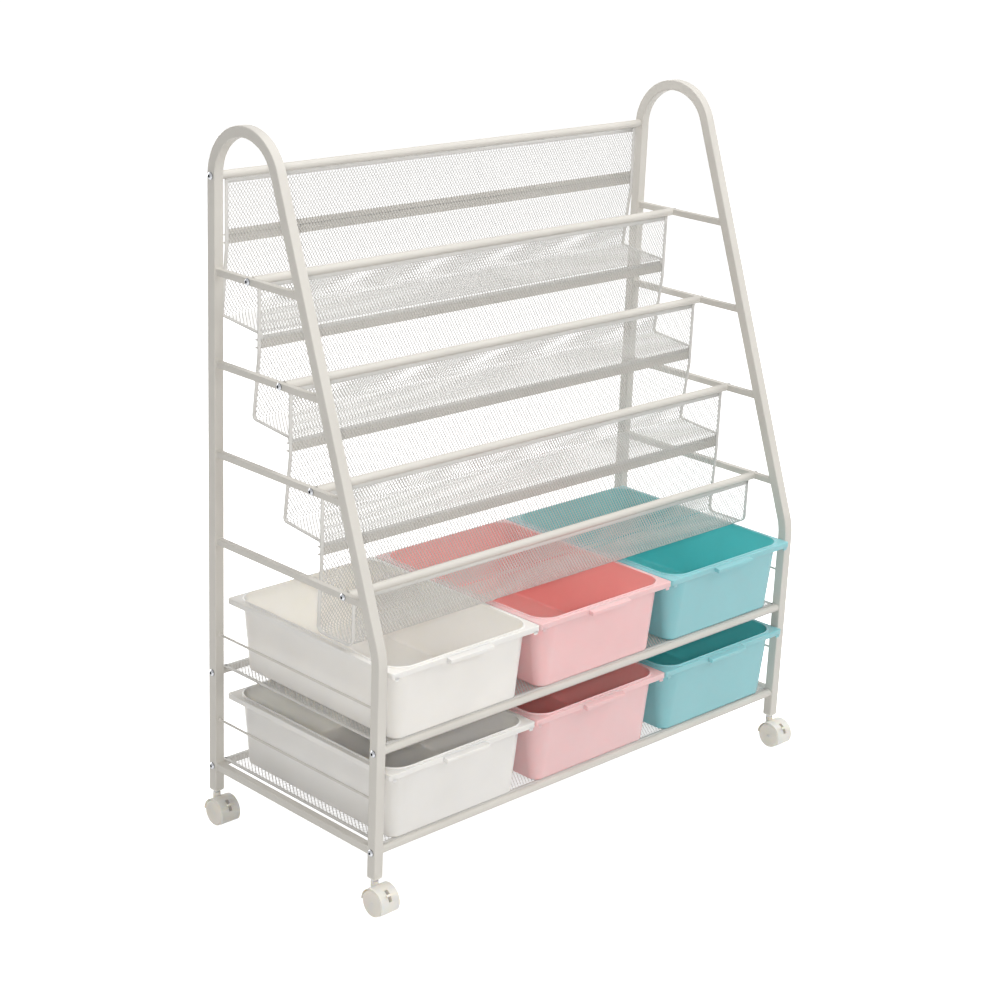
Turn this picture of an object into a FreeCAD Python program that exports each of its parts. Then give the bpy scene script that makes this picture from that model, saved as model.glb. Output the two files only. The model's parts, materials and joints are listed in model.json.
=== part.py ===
import FreeCAD, Part
import math
import os

V = FreeCAD.Vector

# Children's bookshelf on casters: two arched side frames joined by round rails, four mesh book
# pockets in front of each other like stairs, and two mesh shelves that carry six pull-out bins.
# Millimetres. X to the right, Y to the rear, Z up. The origin is on the floor, under the middle.

# Fits
seat = 0.3                 # gap between a sheet, a bin or a collar and what carries it
running_gap = 0.05         # radial gap of a pin, a stem or an insert in its bore
overrun = 5.0              # how far a cutting tool passes the face that it cuts

# Side frames: one square tube each, bent to an arch with a slanted front run
tube = 18.5
tube_wall = 1.2
tube_corner = 2.0
leg_spacing = 408.0        # rear leg axis to front leg axis
bend_rise = 12.0           # from the front pocket's floor to where the axes of the front leg's runs cross
bend_radius = 100.0
arch_drop = 0.5            # from the top rail's axis to the centre of the arch
arch_radius = 80.0

# Crossbars, bottom bars and guard wires of the side frames
crossbar = 11.0
crossbar_wall = 1.0
crossbar_corner = 1.0
bottom_bar = 14.0
bottom_bar_wall = 1.0
bottom_bar_corner = 1.5
guard_wire = 4.0           # diameter
upper_guard_rise = 69.5    # from the mid rails' axes
lower_guard_rise = 86.0    # from the bottom rails' axes

# Rails between the two side frames
rail = 14.0                # diameter
rail_wall = 1.2
bottom_rail_rise = 43.0    # from the legs' ends to the bottom rails' axes
mid_rail_gap = 27.4        # from the lip of the lower bins to the mid rails
front_rail_rise = 89.1     # from the front pocket's floor to the axis of the front book rail
top_rail_rise = 151.0      # from the rear book rail's axis to the top rail's axis
first_rail_setback = 88.0  # from the rear leg axis forward
rail_drop = 149.8          # from one book rail down to the next
rail_step = 79.3           # from one book rail forward to the next
book_rails = 4

# Fasteners: button-head screws from outside into a threaded insert in each rail end
bolt = 6.0                 # thread diameter
bolt_hole_gap = 0.3
bolt_head = 12.0
bolt_head_height = 3.3
bolt_head_edge = 0.8       # straight edge below the dome
bolt_head_flat = 6.4       # flat top of the dome, across
bolt_socket = 4.0          # hexagon across flats
bolt_socket_depth = 1.8
bolt_bite = 14.0           # how far the thread reaches into the insert
insert_length = 18.0

# Mesh of the pockets and shelves, as a plain grid of openings
mesh_columns = 12
mesh_bar = 14.0            # between two openings, and along the edges

# Book pockets: bent mesh sheets and the channels behind them
sheet = 0.8
sheet_side_gap = 8.75      # from the tube's inner face to the side edge of the top rail's sheet
book_sheet_side_gap = 8.5  # from the crossbar's inner face to the side edge of a book rail's sheet
channel_drop = 104.0       # from a rail's axis down to the middle of its channel
channel_height = 14.0
channel_depth = 9.0
channel_metal = 1.2
channel_end_gap = 3.0      # from the sheet's side edge to the channel's end
pocket_upright = 119.0     # from a rail's axis down to where its sheet starts to lean
pocket_depth = 228.0       # from a rail's axis down to the pocket's lower rear corner
pocket_lean = 13.0         # how far that corner lies behind the rail's axis
pocket_lean_radius = 60.0
pocket_corner_radius = 8.0
floor_edge = 9.2           # how far the floor's front edge turns down, onto the next sheet's channel
floor_edge_radius = 3.0
bin_headroom = 8.0         # from the lip of the upper bins to the floor of the front pocket
last_lean = 6.0
last_corner_radius = 12.0

# Mesh shelves on the rails
shelf_sheet = 1.0
shelf_side_gap = 3.0       # from the tube's inner face to the shelf's side edge

# Bins: tapered tubs with a flanged rim and a raised lip around the mouth, in two rows
bin_columns = ["left", "middle", "right"]
bin_width = 319.0          # over the rim
bin_gap = 2.5              # between two rims
bin_side_room = 1.75       # from the tube's inner face to the nearest rim
bin_depth = 412.0          # over the rim
bin_height = 128.0         # to the top of the lip
bin_front = 10.0           # how far the rim stands in front of the front legs
bin_wall = 2.2
bin_side_flange = 10.0     # from the rim's edge to the tub's outer face
bin_end_flange = 6.0
bin_taper = 13.0           # how much each wall comes in from the rim to the floor
bin_corner = 36.0          # of the tub at the rim
bin_floor_corner = 18.0
bin_floor_bevel = 3.0
bin_rim = 2.2
bin_rim_corner = 4.0
bin_lip = 2.5              # height of the lip above the rim
bin_lip_width = 3.2
bin_skirt = 10.0           # height of the rim's turned-down edge
bin_skirt_wall = 2.0
handle_width = 94.0
handle_reach = 10.0
handle_drop = 1.0          # from the rim's top down to the handle's top
handle_slope = 2.0         # how far the handle's top falls towards the front
bin_foot_width = 8.0       # small tabs under the rim's front corners
bin_foot_drop = 4.0
bin_foot_inset = 9.0

# Leg plugs and caster stems
plug_flange = 4.0
plug_bevel = 2.0           # around the flange's lower edge
plug_spigot = 24.0
plug_slack = 0.15
stem = 8.0
stem_length = 20.0         # above the plug's lower face
stem_collar = 12.0
stem_collar_height = 3.5
stem_reach = 13.5          # below the collar, into the neck

# Casters: twin wheels under a hood, with a brake lever
wheel = 46.0
wheel_round = 3.0
wheel_side_gap = 0.7       # from the hood's web to the wheel's inner face
wheel_mark = 3.0           # diameter of the mark in the middle of the cap
wheel_mark_depth = 0.4
wheel_cap = 1.6            # what is left in front of the axle's end
caster_trail = 15.0        # from the swivel axis to the axle
caster_width = 38.0
hood_gap = 0.8
hood_wall = 1.4
hood_web = 11.5
hood_front_angle = 35.0    # how far below the axle's level the hood reaches in front
neck = 13.0
neck_rise = 4.0            # from the hood's top to the neck's upper face
neck_root = 9.0            # how far the neck starts above the axle's level
axle = 6.0
axle_inset = 0.6           # from the wheel's bore end to the axle's end
lever_angle = 40.0         # direction of the lever, above the level
lever_pivot = 15.5         # from the axle to the lever's pivot
lever_width = 6.0
lever_metal = 3.5
lever_hub = 6.0
lever_pin = 3.0
lever_pin_inset = 0.5
lever_slot_gap = 0.3
lever_slot = 20.0          # along the hood's rim
lever_slot_root = 5.0      # how far the slot goes in behind the pivot
lever_foot_gap = 1.5       # from the hood to the foot pad
lever_foot = 4.0
lever_foot_width = 16.0

# Worked out from the values above
bin_pitch = bin_width + bin_gap
frame_width = len(bin_columns) * bin_pitch - bin_gap + 2 * bin_side_room + 2 * tube
hood = wheel / 2 + hood_gap + hood_wall
collar_bottom = wheel / 2 + hood + neck_rise + seat
plug_bottom = collar_bottom + stem_collar_height
tube_end_height = plug_bottom + plug_flange
shelf_rise = rail / 2 + seat + shelf_sheet
bin_top_rise = shelf_rise + seat + bin_height
bottom_rail_height = tube_end_height + bottom_rail_rise
mid_rail_height = bottom_rail_height + bin_top_rise + mid_rail_gap + rail / 2
last_floor_height = mid_rail_height + bin_top_rise + bin_headroom + sheet / 2
front_rail_height = last_floor_height + front_rail_rise
top_rail_height = front_rail_height + rail_drop * (book_rails - 1) + top_rail_rise
arch_height = top_rail_height - arch_drop
bend_height = last_floor_height + bend_rise
guard_heights = [mid_rail_height + upper_guard_rise, bottom_rail_height + lower_guard_rise]
front_reach = caster_trail + hood
rear_reach = max(pocket_lean + sheet / 2, hood - caster_trail)
leg_middle = (front_reach - rear_reach) / 2
rear_leg = leg_middle + leg_spacing / 2
front_leg = leg_middle - leg_spacing / 2
side_axis = frame_width / 2 - tube / 2
tube_inner_face = frame_width / 2 - tube
crossbar_inner_face = side_axis - crossbar / 2
sheet_halves = [tube_inner_face - sheet_side_gap]
sheet_halves += [crossbar_inner_face - book_sheet_side_gap] * (book_rails - 1)
book_rail_places = [
    (rear_leg - first_rail_setback - rail_step * i, front_rail_height + rail_drop * (book_rails - 1 - i))
    for i in range(book_rails)
]
leg_rail_places = {
    "rail_top": (rear_leg, top_rail_height),
    "rail_mid_rear": (rear_leg, mid_rail_height),
    "rail_mid_front": (front_leg, mid_rail_height),
    "rail_bottom_rear": (rear_leg, bottom_rail_height),
    "rail_bottom_front": (front_leg, bottom_rail_height),
}
pocket_rail_places = [leg_rail_places["rail_top"]] + book_rail_places
shelf_tops = {
    "lower": bottom_rail_height + shelf_rise,
    "upper": mid_rail_height + shelf_rise,
}


def box(x0, x1, y0, y1, z0, z1):
    return Part.makeBox(x1 - x0, y1 - y0, z1 - z0, V(x0, y0, z0))


def rod_x(diameter, x0, x1, y, z):
    return Part.makeCylinder(diameter / 2, x1 - x0, V(x0, y, z), V(1, 0, 0))


def rod_z(diameter, z0, z1, x, y):
    return Part.makeCylinder(diameter / 2, z1 - z0, V(x, y, z0), V(0, 0, 1))


def rounded_rectangle(width, depth, corner, z, x=0, y=0):
    # Wire in a level plane, with its centre at x, y
    a = width / 2
    b = depth / 2
    k = corner * (1 - math.sqrt(1 / 2))
    edges = []
    for sx, sy in ((1, 1), (-1, 1), (-1, -1), (1, -1)):
        on_side = V(x + sx * a, y + sy * (b - corner), z)
        on_end = V(x + sx * (a - corner), y + sy * b, z)
        middle = V(x + sx * (a - k), y + sy * (b - k), z)
        first, last = (on_side, on_end) if sx * sy > 0 else (on_end, on_side)
        edges.append(Part.Arc(first, middle, last).toShape())
    lines = []
    for arc, following in zip(edges, edges[1:] + edges[:1]):
        start = arc.Vertexes[-1].Point
        lines.append(Part.makeLine(start, following.Vertexes[0].Point))
    return Part.Wire([edge for pair in zip(edges, lines) for edge in pair])


def rectangular_tube_y(size, wall, corner, x, y0, y1, z):
    # Square tube along Y, open at both ends
    outer = box(x - size / 2, x + size / 2, y0, y1, z - size / 2, z + size / 2)
    along = [e for e in outer.Edges if abs(e.tangentAt(e.FirstParameter).y) > math.sqrt(1 / 2)]
    outer = outer.makeFillet(corner, along)
    bore = size / 2 - wall
    return outer.cut(box(x - bore, x + bore, y0 - overrun, y1 + overrun, z - bore, z + bore))


def side_path(x):
    # Axis of a side tube: up the rear leg, over the arch, down the slanted run and the front leg
    centre_y = rear_leg - arch_radius
    across = centre_y - front_leg
    rise = arch_height - bend_height
    slant = math.atan2(across, rise) - math.asin(arch_radius / math.hypot(across, rise))
    tangent = bend_radius * math.tan(slant / 2)

    def arch_point(angle):
        return V(x, centre_y + arch_radius * math.cos(angle), arch_height + arch_radius * math.sin(angle))

    arch_end = math.pi - slant
    bend_top = V(x, front_leg + tangent * math.sin(slant), bend_height + tangent * math.cos(slant))
    bend_bottom = V(x, front_leg, bend_height - tangent)
    bend_middle = V(
        x,
        front_leg + bend_radius * (1 - math.cos(slant / 2)),
        bend_height - tangent + bend_radius * math.sin(slant / 2),
    )
    return Part.Wire([
        Part.makeLine(V(x, rear_leg, tube_end_height), arch_point(0)),
        Part.Arc(arch_point(0), arch_point(arch_end / 2), arch_point(arch_end)).toShape(),
        Part.makeLine(arch_point(arch_end), bend_top),
        Part.Arc(bend_top, bend_middle, bend_bottom).toShape(),
        Part.makeLine(bend_bottom, V(x, front_leg, tube_end_height)),
    ])


def side_sweep(x, size, corner):
    profile = rounded_rectangle(size, size, corner, tube_end_height, x, rear_leg)
    return side_path(x).makePipeShell([profile], True, False)


def side_tube(side):
    x = side * side_axis
    bore = tube - 2 * tube_wall
    shape = side_sweep(x, tube, tube_corner).cut(side_sweep(x, bore, tube_corner - tube_wall))
    hole = bolt + 2 * bolt_hole_gap
    for y, z in leg_rail_places.values():
        shape = shape.cut(rod_x(hole, x - tube, x + tube, y, z))
    return shape


def crossbar_at(side, index):
    # Welded between the rear leg and the slanted run, drilled for the rail's screw
    x = side * side_axis
    y, z = book_rail_places[index]
    bar = rectangular_tube_y(crossbar, crossbar_wall, crossbar_corner, x, front_leg, rear_leg - tube / 2, z)
    bar = bar.cut(side_sweep(x, tube, tube_corner))
    behind = [piece for piece in bar.Solids if piece.BoundBox.YMax > y]
    hole = rod_x(bolt + 2 * bolt_hole_gap, x - crossbar, x + crossbar, y, z)
    return behind[0].cut(hole)


def bottom_bar_at(side):
    x = side * side_axis
    y0 = front_leg + tube / 2
    y1 = rear_leg - tube / 2
    return rectangular_tube_y(bottom_bar, bottom_bar_wall, bottom_bar_corner, x, y0, y1, bottom_rail_height)


def guard_wires_at(side):
    length = leg_spacing - tube
    wires = []
    for height in guard_heights:
        start = V(side * side_axis, front_leg + tube / 2, height)
        wires.append(Part.makeCylinder(guard_wire / 2, length, start, V(0, 1, 0)))
    return Part.makeCompound(wires)


def rail_at(half_length, place):
    y, z = place
    outer = rod_x(rail, -half_length, half_length, y, z)
    inner = rod_x(rail - 2 * rail_wall, -half_length - overrun, half_length + overrun, y, z)
    return outer.cut(inner)


def screw(grip):
    # Along X with its seat at the origin: the head to the left, the thread to the right
    r = bolt_head / 2
    flat = bolt_head_flat / 2
    dome_x = (bolt_head_edge + bolt_head_height) / 2
    dome_r = math.sqrt((r * r + flat * flat) / 2)
    outline = [
        Part.makeLine(V(0, 0, 0), V(0, r, 0)),
        Part.makeLine(V(0, r, 0), V(-bolt_head_edge, r, 0)),
        Part.Arc(V(-bolt_head_edge, r, 0), V(-dome_x, dome_r, 0), V(-bolt_head_height, flat, 0)).toShape(),
        Part.makeLine(V(-bolt_head_height, flat, 0), V(-bolt_head_height, 0, 0)),
        Part.makeLine(V(-bolt_head_height, 0, 0), V(0, 0, 0)),
    ]
    head = Part.Face(Part.Wire(outline)).revolve(V(0, 0, 0), V(1, 0, 0), 360)
    corner = bolt_socket / math.sqrt(3)
    turns = [math.radians(60 * i) for i in range(7)]
    hexagon = [V(-bolt_head_height, corner * math.cos(t), corner * math.sin(t)) for t in turns]
    socket = Part.Face(Part.makePolygon(hexagon)).extrude(V(bolt_socket_depth, 0, 0))
    return head.fuse(rod_x(bolt, 0, grip + bolt_bite, 0, 0)).removeSplitter().cut(socket)


def rail_ends():
    # Seat of the screw head, rail end, grip and place of each joint between a rail and a side
    for y, z in leg_rail_places.values():
        yield frame_width / 2, tube_inner_face, tube, y, z
    for y, z in book_rail_places:
        yield side_axis + crossbar / 2, crossbar_inner_face, crossbar, y, z


def screws():
    solids = []
    for head_seat, rail_end, grip, y, z in rail_ends():
        left = screw(grip)
        right = left.copy()
        left.translate(V(-head_seat, y, z))
        right.rotate(V(0, 0, 0), V(0, 0, 1), 180)
        right.translate(V(head_seat, y, z))
        solids += [left, right]
    return Part.makeCompound(solids)


def inserts():
    outer = rail - 2 * rail_wall - 2 * running_gap
    bore = bolt + 2 * running_gap
    solids = []
    for head_seat, rail_end, grip, y, z in rail_ends():
        for x0, x1 in ((-rail_end, insert_length - rail_end), (rail_end - insert_length, rail_end)):
            solids.append(rod_x(outer, x0, x1, y, z).cut(rod_x(bore, x0 - overrun, x1 + overrun, y, z)))
    return Part.makeCompound(solids)


def bent_runs(points, radii):
    # Straight runs and bends of a sheet's middle line, from its corners in depth and height
    corners = [V(0, y, z) for y, z in points]
    runs = []
    bends = []
    start = corners[0]
    for before, corner, after, radius in zip(corners, corners[1:], corners[2:], radii):
        inward = (before - corner).normalize()
        outward = (after - corner).normalize()
        half = inward.getAngle(outward) / 2
        reach = radius / math.tan(half)
        first = corner + inward * reach
        last = corner + outward * reach
        centre = corner + (inward + outward).normalize() * (radius / math.sin(half))
        middle = centre + (corner - centre).normalize() * radius
        runs.append((start, first))
        bends.append((first, middle, last))
        start = last
    runs.append((start, corners[-1]))
    return runs, bends


def mesh_openings(run, half_length):
    # Grid of openings in one straight run of a sheet
    start, end = run
    along = end - start
    pitch = (2 * half_length - mesh_bar) / mesh_columns
    rows = round((along.Length - mesh_bar) / pitch)
    cuts = []
    for row in range(rows):
        row_pitch = (along.Length - mesh_bar) / rows
        z0 = mesh_bar + row_pitch * row
        z1 = row_pitch * (row + 1)
        for column in range(mesh_columns):
            x0 = mesh_bar + pitch * column - half_length
            x1 = pitch * (column + 1) - half_length
            cut = box(x0, x1, -overrun, overrun, z0, z1)
            cut.rotate(V(0, 0, 0), V(1, 0, 0), math.degrees(math.atan2(-along.y, along.z)))
            cut.translate(start)
            cuts.append(cut)
    return cuts


def bent_mesh(points, radii, metal, half_length):
    # Mesh sheet bent along lines across the shelf
    runs, bends = bent_runs(points, radii)
    edges = [Part.makeLine(*runs[0])]
    for bend, run in zip(bends, runs[1:]):
        edges.append(Part.Arc(*bend).toShape())
        edges.append(Part.makeLine(*run))
    start, end = runs[0]
    across = V(1, 0, 0).cross((end - start).normalize()) * (metal / 2)
    profile = Part.makePolygon([
        start + across + V(-half_length, 0, 0),
        start - across + V(-half_length, 0, 0),
        start - across + V(half_length, 0, 0),
        start + across + V(half_length, 0, 0),
        start + across + V(-half_length, 0, 0),
    ])
    shape = Part.Wire(edges).makePipeShell([profile], True, False)
    return shape.cut([cut for run in runs for cut in mesh_openings(run, half_length)])


def pocket_sheet(index):
    y0, z0 = pocket_rail_places[index]
    y1, z1 = pocket_rail_places[index + 1]
    points = [(y0, z0 - rail / 2 - seat), (y0, z0 - pocket_upright)]
    if index + 1 < book_rails:
        # The floor runs forward to the next sheet and turns down onto its channel
        edge_y = y1 + sheet + seat
        edge_z = z1 - channel_drop + channel_height / 2 + seat
        points += [(y0 + pocket_lean, z0 - pocket_depth), (edge_y, edge_z + floor_edge), (edge_y, edge_z)]
        radii = (pocket_lean_radius, pocket_corner_radius, floor_edge_radius)
    else:
        points += [(y0 + last_lean, last_floor_height), (y1, last_floor_height), (y1, z1 - rail / 2 - seat)]
        radii = (pocket_lean_radius, last_corner_radius, last_corner_radius)
    return bent_mesh(points, radii, sheet, sheet_halves[index])


def pocket_channel(index):
    # C-shaped strip behind the sheet, open to the rear
    y, z = pocket_rail_places[index]
    half = sheet_halves[index] - channel_end_gap
    y0 = y + sheet / 2 + seat
    z0 = z - channel_drop - channel_height / 2
    z1 = z0 + channel_height
    block = box(-half, half, y0, y0 + channel_depth, z0, z1)
    hollow = box(
        -half - overrun, half + overrun,
        y0 + channel_metal, y0 + channel_depth + overrun,
        z0 + channel_metal, z1 - channel_metal,
    )
    return block.cut(hollow)


def shelf_mesh(row):
    half = tube_inner_face - shelf_side_gap
    level = shelf_tops[row] - shelf_sheet / 2
    return bent_mesh([(front_leg, level), (rear_leg, level)], [], shelf_sheet, half)


def bin_shape():
    # Middle of the floor's underside at the origin, front towards -Y
    tub_width = bin_width - 2 * bin_side_flange
    tub_depth = bin_depth - 2 * bin_end_flange
    rim_top = bin_height - bin_lip

    def section(z, inset):
        # The tub's outer face at this height, moved in by the inset
        drop_share = 1 - z / rim_top
        come_in = 2 * bin_taper * drop_share + 2 * inset
        corner = bin_corner + (bin_floor_corner - bin_corner) * drop_share - inset
        return rounded_rectangle(tub_width - come_in, tub_depth - come_in, corner, z)

    outside = [section(0, bin_floor_bevel), section(bin_floor_bevel, 0), section(rim_top, 0)]
    inside = [section(bin_wall, bin_floor_bevel + bin_wall), section(bin_wall + bin_floor_bevel, bin_wall)]
    inside.append(section(bin_height + overrun, bin_wall))
    lip = Part.Face(section(rim_top - bin_rim, bin_wall - bin_lip_width)).extrude(V(0, 0, bin_rim + bin_lip))
    edge = rounded_rectangle(bin_width, bin_depth, bin_rim_corner, rim_top - bin_skirt)
    rim = Part.Face(edge).extrude(V(0, 0, bin_skirt))
    under = rounded_rectangle(
        bin_width - 2 * bin_skirt_wall, bin_depth - 2 * bin_skirt_wall,
        bin_rim_corner - bin_skirt_wall, rim_top - bin_skirt - overrun,
    )
    rim = rim.cut(Part.Face(under).extrude(V(0, 0, bin_skirt + overrun - bin_rim)))
    shape = rim.fuse([Part.makeLoft(outside, True, True), lip] + bin_front_details(rim_top))
    return shape.cut(Part.makeLoft(inside, True, True)).removeSplitter()


def bin_front_details(rim_top):
    # Handle with a sloping top, as deep as the rim's edge, and a small tab under each front corner
    front = -bin_depth / 2
    back = front + bin_skirt_wall
    bottom = rim_top - bin_skirt
    half = handle_width / 2
    outline = [
        V(-half, back, rim_top - handle_drop),
        V(-half, front - handle_reach, rim_top - handle_drop - handle_slope),
        V(-half, front - handle_reach, bottom),
        V(-half, back, bottom),
        V(-half, back, rim_top - handle_drop),
    ]
    pieces = [Part.Face(Part.makePolygon(outline)).extrude(V(handle_width, 0, 0))]
    for side in (-1, 1):
        x = side * (bin_width / 2 - bin_foot_inset)
        x0 = x - bin_foot_width / 2
        x1 = x + bin_foot_width / 2
        pieces.append(box(x0, x1, front, back, bottom - bin_foot_drop, bottom))
    return pieces


def bin_at(row, column):
    shape = bin_shape()
    x = (column - (len(bin_columns) - 1) / 2) * bin_pitch
    y = front_leg - tube / 2 - bin_front + bin_depth / 2
    shape.translate(V(x, y, shelf_tops[row] + seat))
    return shape


def leg_places():
    for side, side_name in ((-1, "left"), (1, "right")):
        yield f"rear_{side_name}", side * side_axis, rear_leg
        yield f"front_{side_name}", side * side_axis, front_leg


def leg_plugs():
    spigot = tube - 2 * tube_wall - 2 * plug_slack
    solids = []
    for name, x, y in leg_places():
        flange = Part.makeLoft([
            rounded_rectangle(tube - 2 * plug_bevel, tube - 2 * plug_bevel, tube_corner, plug_bottom, x, y),
            rounded_rectangle(tube, tube, tube_corner, plug_bottom + plug_bevel, x, y),
            rounded_rectangle(tube, tube, tube_corner, tube_end_height, x, y),
        ], True, True)
        inside = rounded_rectangle(spigot, spigot, tube_corner - tube_wall, tube_end_height, x, y)
        plug = flange.fuse(Part.Face(inside).extrude(V(0, 0, plug_spigot)))
        bore = rod_z(stem + 2 * running_gap, plug_bottom - overrun, plug_bottom + stem_length, x, y)
        solids.append(plug.removeSplitter().cut(bore))
    return Part.makeCompound(solids)


def caster_stems():
    solids = []
    for name, x, y in leg_places():
        pin = rod_z(stem, collar_bottom - stem_reach, plug_bottom + stem_length, x, y)
        collar = rod_z(stem_collar, collar_bottom, plug_bottom, x, y)
        solids.append(pin.fuse(collar).removeSplitter())
    return Part.makeCompound(solids)


def lever_bar(width, across, r0, r1):
    # Bar along the lever's direction, from one distance from the axle to another
    bar = box(-width / 2, width / 2, -across / 2, across / 2, r0, r1)
    bar.rotate(V(0, 0, 0), V(1, 0, 0), 90 - lever_angle)
    bar.translate(V(0, -caster_trail, wheel / 2))
    return bar


def lever_pivot_place():
    angle = math.radians(lever_angle)
    y = -caster_trail - lever_pivot * math.cos(angle)
    return y, wheel / 2 + lever_pivot * math.sin(angle)


def caster_hood():
    # Swivel axis at the origin, trailing towards -Y
    y = -caster_trail
    z = wheel / 2
    half = caster_width / 2
    shape = rod_x(2 * hood, -half, half, y, z).fuse(rod_z(neck, z + neck_root, collar_bottom - seat, 0, 0))
    angle = math.radians(hood_front_angle)
    below = Part.makePolygon([
        V(-half - overrun, y - hood * math.cos(angle) - overrun, z - hood * math.sin(angle)),
        V(-half - overrun, y - hood * math.cos(angle), z - hood * math.sin(angle)),
        V(-half - overrun, y + hood, z),
        V(-half - overrun, y + hood + overrun, z),
        V(-half - overrun, y + hood + overrun, z - hood - overrun),
        V(-half - overrun, y - hood * math.cos(angle) - overrun, z - hood - overrun),
        V(-half - overrun, y - hood * math.cos(angle) - overrun, z - hood * math.sin(angle)),
    ])
    shape = shape.cut(Part.Face(below).extrude(V(caster_width + 2 * overrun, 0, 0)))
    room = wheel + 2 * hood_gap
    shape = shape.cut(rod_x(room, hood_web / 2, half + overrun, y, z))
    shape = shape.cut(rod_x(room, -half - overrun, -hood_web / 2, y, z))
    shape = shape.cut(rod_x(axle + 2 * running_gap, -hood_web, hood_web, y, z))
    bore_bottom = collar_bottom - stem_reach - seat
    shape = shape.cut(rod_z(stem + 2 * running_gap, bore_bottom, collar_bottom + overrun, 0, 0))
    slot_start = lever_pivot - lever_slot_root
    shape = shape.cut(lever_bar(lever_width + 2 * lever_slot_gap, lever_slot, slot_start, hood + overrun))
    pivot_y, pivot_z = lever_pivot_place()
    return shape.cut(rod_x(lever_pin + 2 * running_gap, -hood_web / 2, hood_web / 2, pivot_y, pivot_z))


def caster_wheel():
    # Right-hand wheel, blind bore from the inside and centre mark on the cap
    y = -caster_trail
    z = wheel / 2
    x0 = hood_web / 2 + wheel_side_gap
    x1 = caster_width / 2
    disc = rod_x(wheel, x0, x1, y, z)
    disc = disc.makeFillet(wheel_round, [e for e in disc.Edges if len(e.Vertexes) == 1])
    mark = rod_x(wheel_mark, x1 - wheel_mark_depth, x1 + overrun, y, z)
    bore = rod_x(axle + 2 * running_gap, x0 - overrun, x1 - wheel_cap, y, z)
    return disc.cut(mark).cut(bore)


def caster_wheels():
    right = caster_wheel()
    return Part.makeCompound([right, right.mirror(V(0, 0, 0), V(1, 0, 0))])


def caster_axle():
    half = caster_width / 2 - wheel_cap - axle_inset
    return rod_x(axle, -half, half, -caster_trail, wheel / 2)


def caster_brake():
    pivot_y, pivot_z = lever_pivot_place()
    pin_half = hood_web / 2 - lever_pin_inset
    hub = rod_x(lever_hub, -lever_width / 2, lever_width / 2, pivot_y, pivot_z)
    pin = rod_x(lever_pin, -pin_half, pin_half, pivot_y, pivot_z)
    foot_start = hood + lever_foot_gap
    arm = lever_bar(lever_width, lever_metal, lever_pivot, foot_start + lever_foot)
    foot = lever_bar(lever_foot_width, lever_metal, foot_start, foot_start + lever_foot)
    return hub.fuse([pin, arm, foot]).removeSplitter()


def moved(shape, x, y):
    shape.translate(V(x, y, 0))
    return shape


def pieces():
    for side, side_name in ((-1, "left"), (1, "right")):
        yield f"side_tube_{side_name}", side_tube(side)
        yield f"bottom_bar_{side_name}", bottom_bar_at(side)
        yield f"guard_wires_{side_name}", guard_wires_at(side)
        for index in range(book_rails):
            yield f"crossbar_{side_name}_{index + 1}", crossbar_at(side, index)
    for name, place in leg_rail_places.items():
        yield name, rail_at(tube_inner_face, place)
    for index, place in enumerate(book_rail_places):
        yield f"rail_book_{index + 1}", rail_at(crossbar_inner_face, place)
    yield "rail_inserts", inserts()
    yield "frame_screws", screws()
    for index in range(book_rails):
        yield f"pocket_sheet_{index + 1}", pocket_sheet(index)
        yield f"pocket_channel_{index + 1}", pocket_channel(index)
    for row in shelf_tops:
        yield f"shelf_mesh_{row}", shelf_mesh(row)
        for column, column_name in enumerate(bin_columns):
            yield f"bin_{row}_{column_name}", bin_at(row, column)
    yield "leg_plugs", leg_plugs()
    yield "caster_stems", caster_stems()
    for name, x, y in leg_places():
        yield f"caster_{name}_hood", moved(caster_hood(), x, y)
        yield f"caster_{name}_wheels", moved(caster_wheels(), x, y)
        yield f"caster_{name}_axle", moved(caster_axle(), x, y)
        yield f"caster_{name}_brake", moved(caster_brake(), x, y)


def main():
    os.makedirs("parts", exist_ok=True)
    for name, shape in pieces():
        shape.exportStep(f"parts/{name}.step")
        print(name, len(shape.Solids), shape.isValid(), round(shape.Volume))


main()
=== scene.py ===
import json
import math

import bmesh
import bpy
import numpy as np
from mathutils import Matrix, Vector


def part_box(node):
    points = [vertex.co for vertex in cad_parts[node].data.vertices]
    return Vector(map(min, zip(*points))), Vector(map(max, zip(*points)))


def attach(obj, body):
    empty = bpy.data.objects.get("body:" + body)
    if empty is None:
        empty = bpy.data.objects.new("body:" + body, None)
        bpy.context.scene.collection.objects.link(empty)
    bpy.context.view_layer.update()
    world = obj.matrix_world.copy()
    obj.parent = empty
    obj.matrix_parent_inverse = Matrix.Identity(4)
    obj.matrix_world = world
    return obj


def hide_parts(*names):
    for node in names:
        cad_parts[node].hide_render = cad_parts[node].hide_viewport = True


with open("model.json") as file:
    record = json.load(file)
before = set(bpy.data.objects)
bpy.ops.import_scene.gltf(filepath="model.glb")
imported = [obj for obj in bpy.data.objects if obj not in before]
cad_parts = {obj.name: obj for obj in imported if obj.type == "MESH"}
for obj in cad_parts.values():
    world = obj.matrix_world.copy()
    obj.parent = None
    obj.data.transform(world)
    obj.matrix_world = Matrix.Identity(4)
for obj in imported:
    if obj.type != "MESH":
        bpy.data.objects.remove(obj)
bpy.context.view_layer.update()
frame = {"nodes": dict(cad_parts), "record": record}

# Sizes in metres, in the same frame as the solids

# Book pockets: the sheets' bends, seen from the side
pockets = 4
sheet = 0.0008
sheet_seat = 0.0003
pocket_upright = 0.119
pocket_depth = 0.228
pocket_lean = 0.013
pocket_lean_radius = 0.060
pocket_corner_radius = 0.008
channel_drop = 0.104
channel_height = 0.014
channel_metal = 0.0012
floor_edge = 0.0092
floor_edge_radius = 0.003
last_floor_height = 0.419
last_lean = 0.006
last_corner_radius = 0.012

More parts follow.
